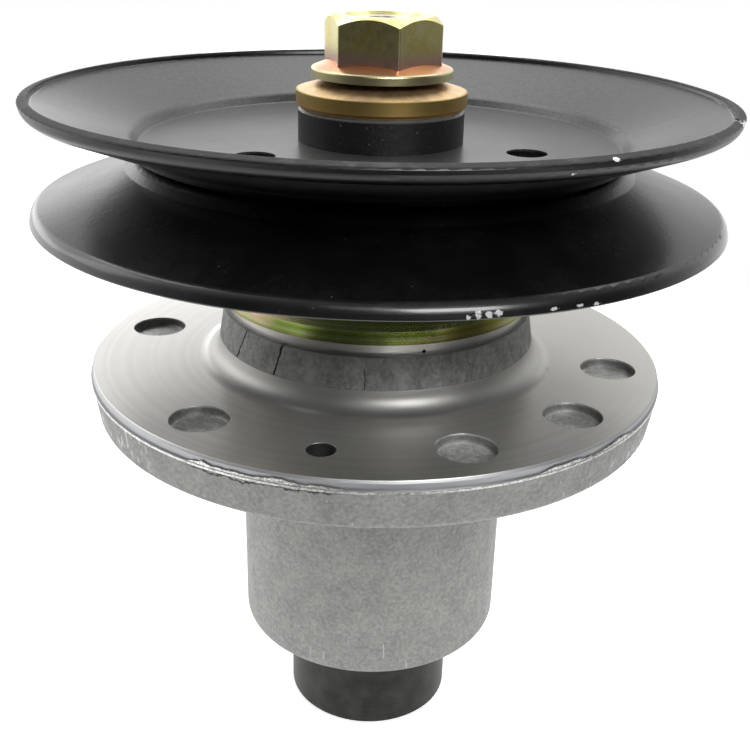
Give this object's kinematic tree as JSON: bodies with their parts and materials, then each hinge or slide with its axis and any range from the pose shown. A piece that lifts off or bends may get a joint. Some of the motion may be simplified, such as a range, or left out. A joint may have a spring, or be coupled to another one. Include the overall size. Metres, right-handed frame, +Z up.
{
  "type": "mower deck spindle",
  "caption": "Mower deck spindle: cast flanged housing with a shaft in tapered roller bearings, belt pulley held on top by a flange nut, blade seat below.",
  "frame": {"origin": "centre of the blade seat, the lower end face of the shaft", "axes": "+Z up along the shaft, from the blade seat towards the nut; +X to the right in the picture"},
  "size_m": [0.1586, 0.1586, 0.1804],
  "materials": {
    "cast_aluminium": "as cast, turned on the upper face",
    "black_paint": "semi-gloss black paint",
    "yellow_zinc": "yellow zinc plating",
    "spring_steel": "dull yellow plating",
    "black_steel": "black oxide",
    "bearing_steel": "ground bearing steel",
    "plain_steel": "turned steel",
    "seal_rubber": "moulded seal"
  },
  "bodies": {
    "housing": {"spindle_housing": "cast_aluminium", "upper_bearing_cup": "bearing_steel", "lower_bearing_cup": "bearing_steel", "upper_grease_seal": "seal_rubber", "lower_grease_seal": "seal_rubber"},
    "spindle": {"spindle_shaft": "black_steel", "upper_bearing_cone": "bearing_steel", "lower_bearing_cone": "bearing_steel", "bearing_spacer": "plain_steel", "seal_collar": "plain_steel", "dust_shield": "yellow_zinc", "pulley_hub": "black_paint", "upper_sheave": "black_paint", "lower_sheave": "black_paint", "pulley_key": "plain_steel", "spring_washer": "spring_steel", "flange_nut": "yellow_zinc"},
    "upper_roller_set": {"upper_bearing_rollers": "bearing_steel", "upper_bearing_cage": "plain_steel"},
    "lower_roller_set": {"lower_bearing_rollers": "bearing_steel", "lower_bearing_cage": "plain_steel"}
  },
  "joints": [
    {"name": "spindle_spin", "type": "hinge", "parent": "housing", "child": "spindle", "pos_m": [0, 0, 0.1], "axis": [0, 0, 1], "continuous": true},
    {"name": "upper_roller_set_spin", "type": "hinge", "parent": "housing", "child": "upper_roller_set", "pos_m": [0, 0, 0.105], "axis": [0, 0, 1], "continuous": true},
    {"name": "lower_roller_set_spin", "type": "hinge", "parent": "housing", "child": "lower_roller_set", "pos_m": [0, 0, 0.04], "axis": [0, 0, 1], "continuous": true}
  ],
  "couplings": [
    {"joint": "upper_roller_set_spin", "follows": "spindle_spin", "ratio": 0.42937},
    {"joint": "lower_roller_set_spin", "follows": "spindle_spin", "ratio": 0.42937}
  ]
}
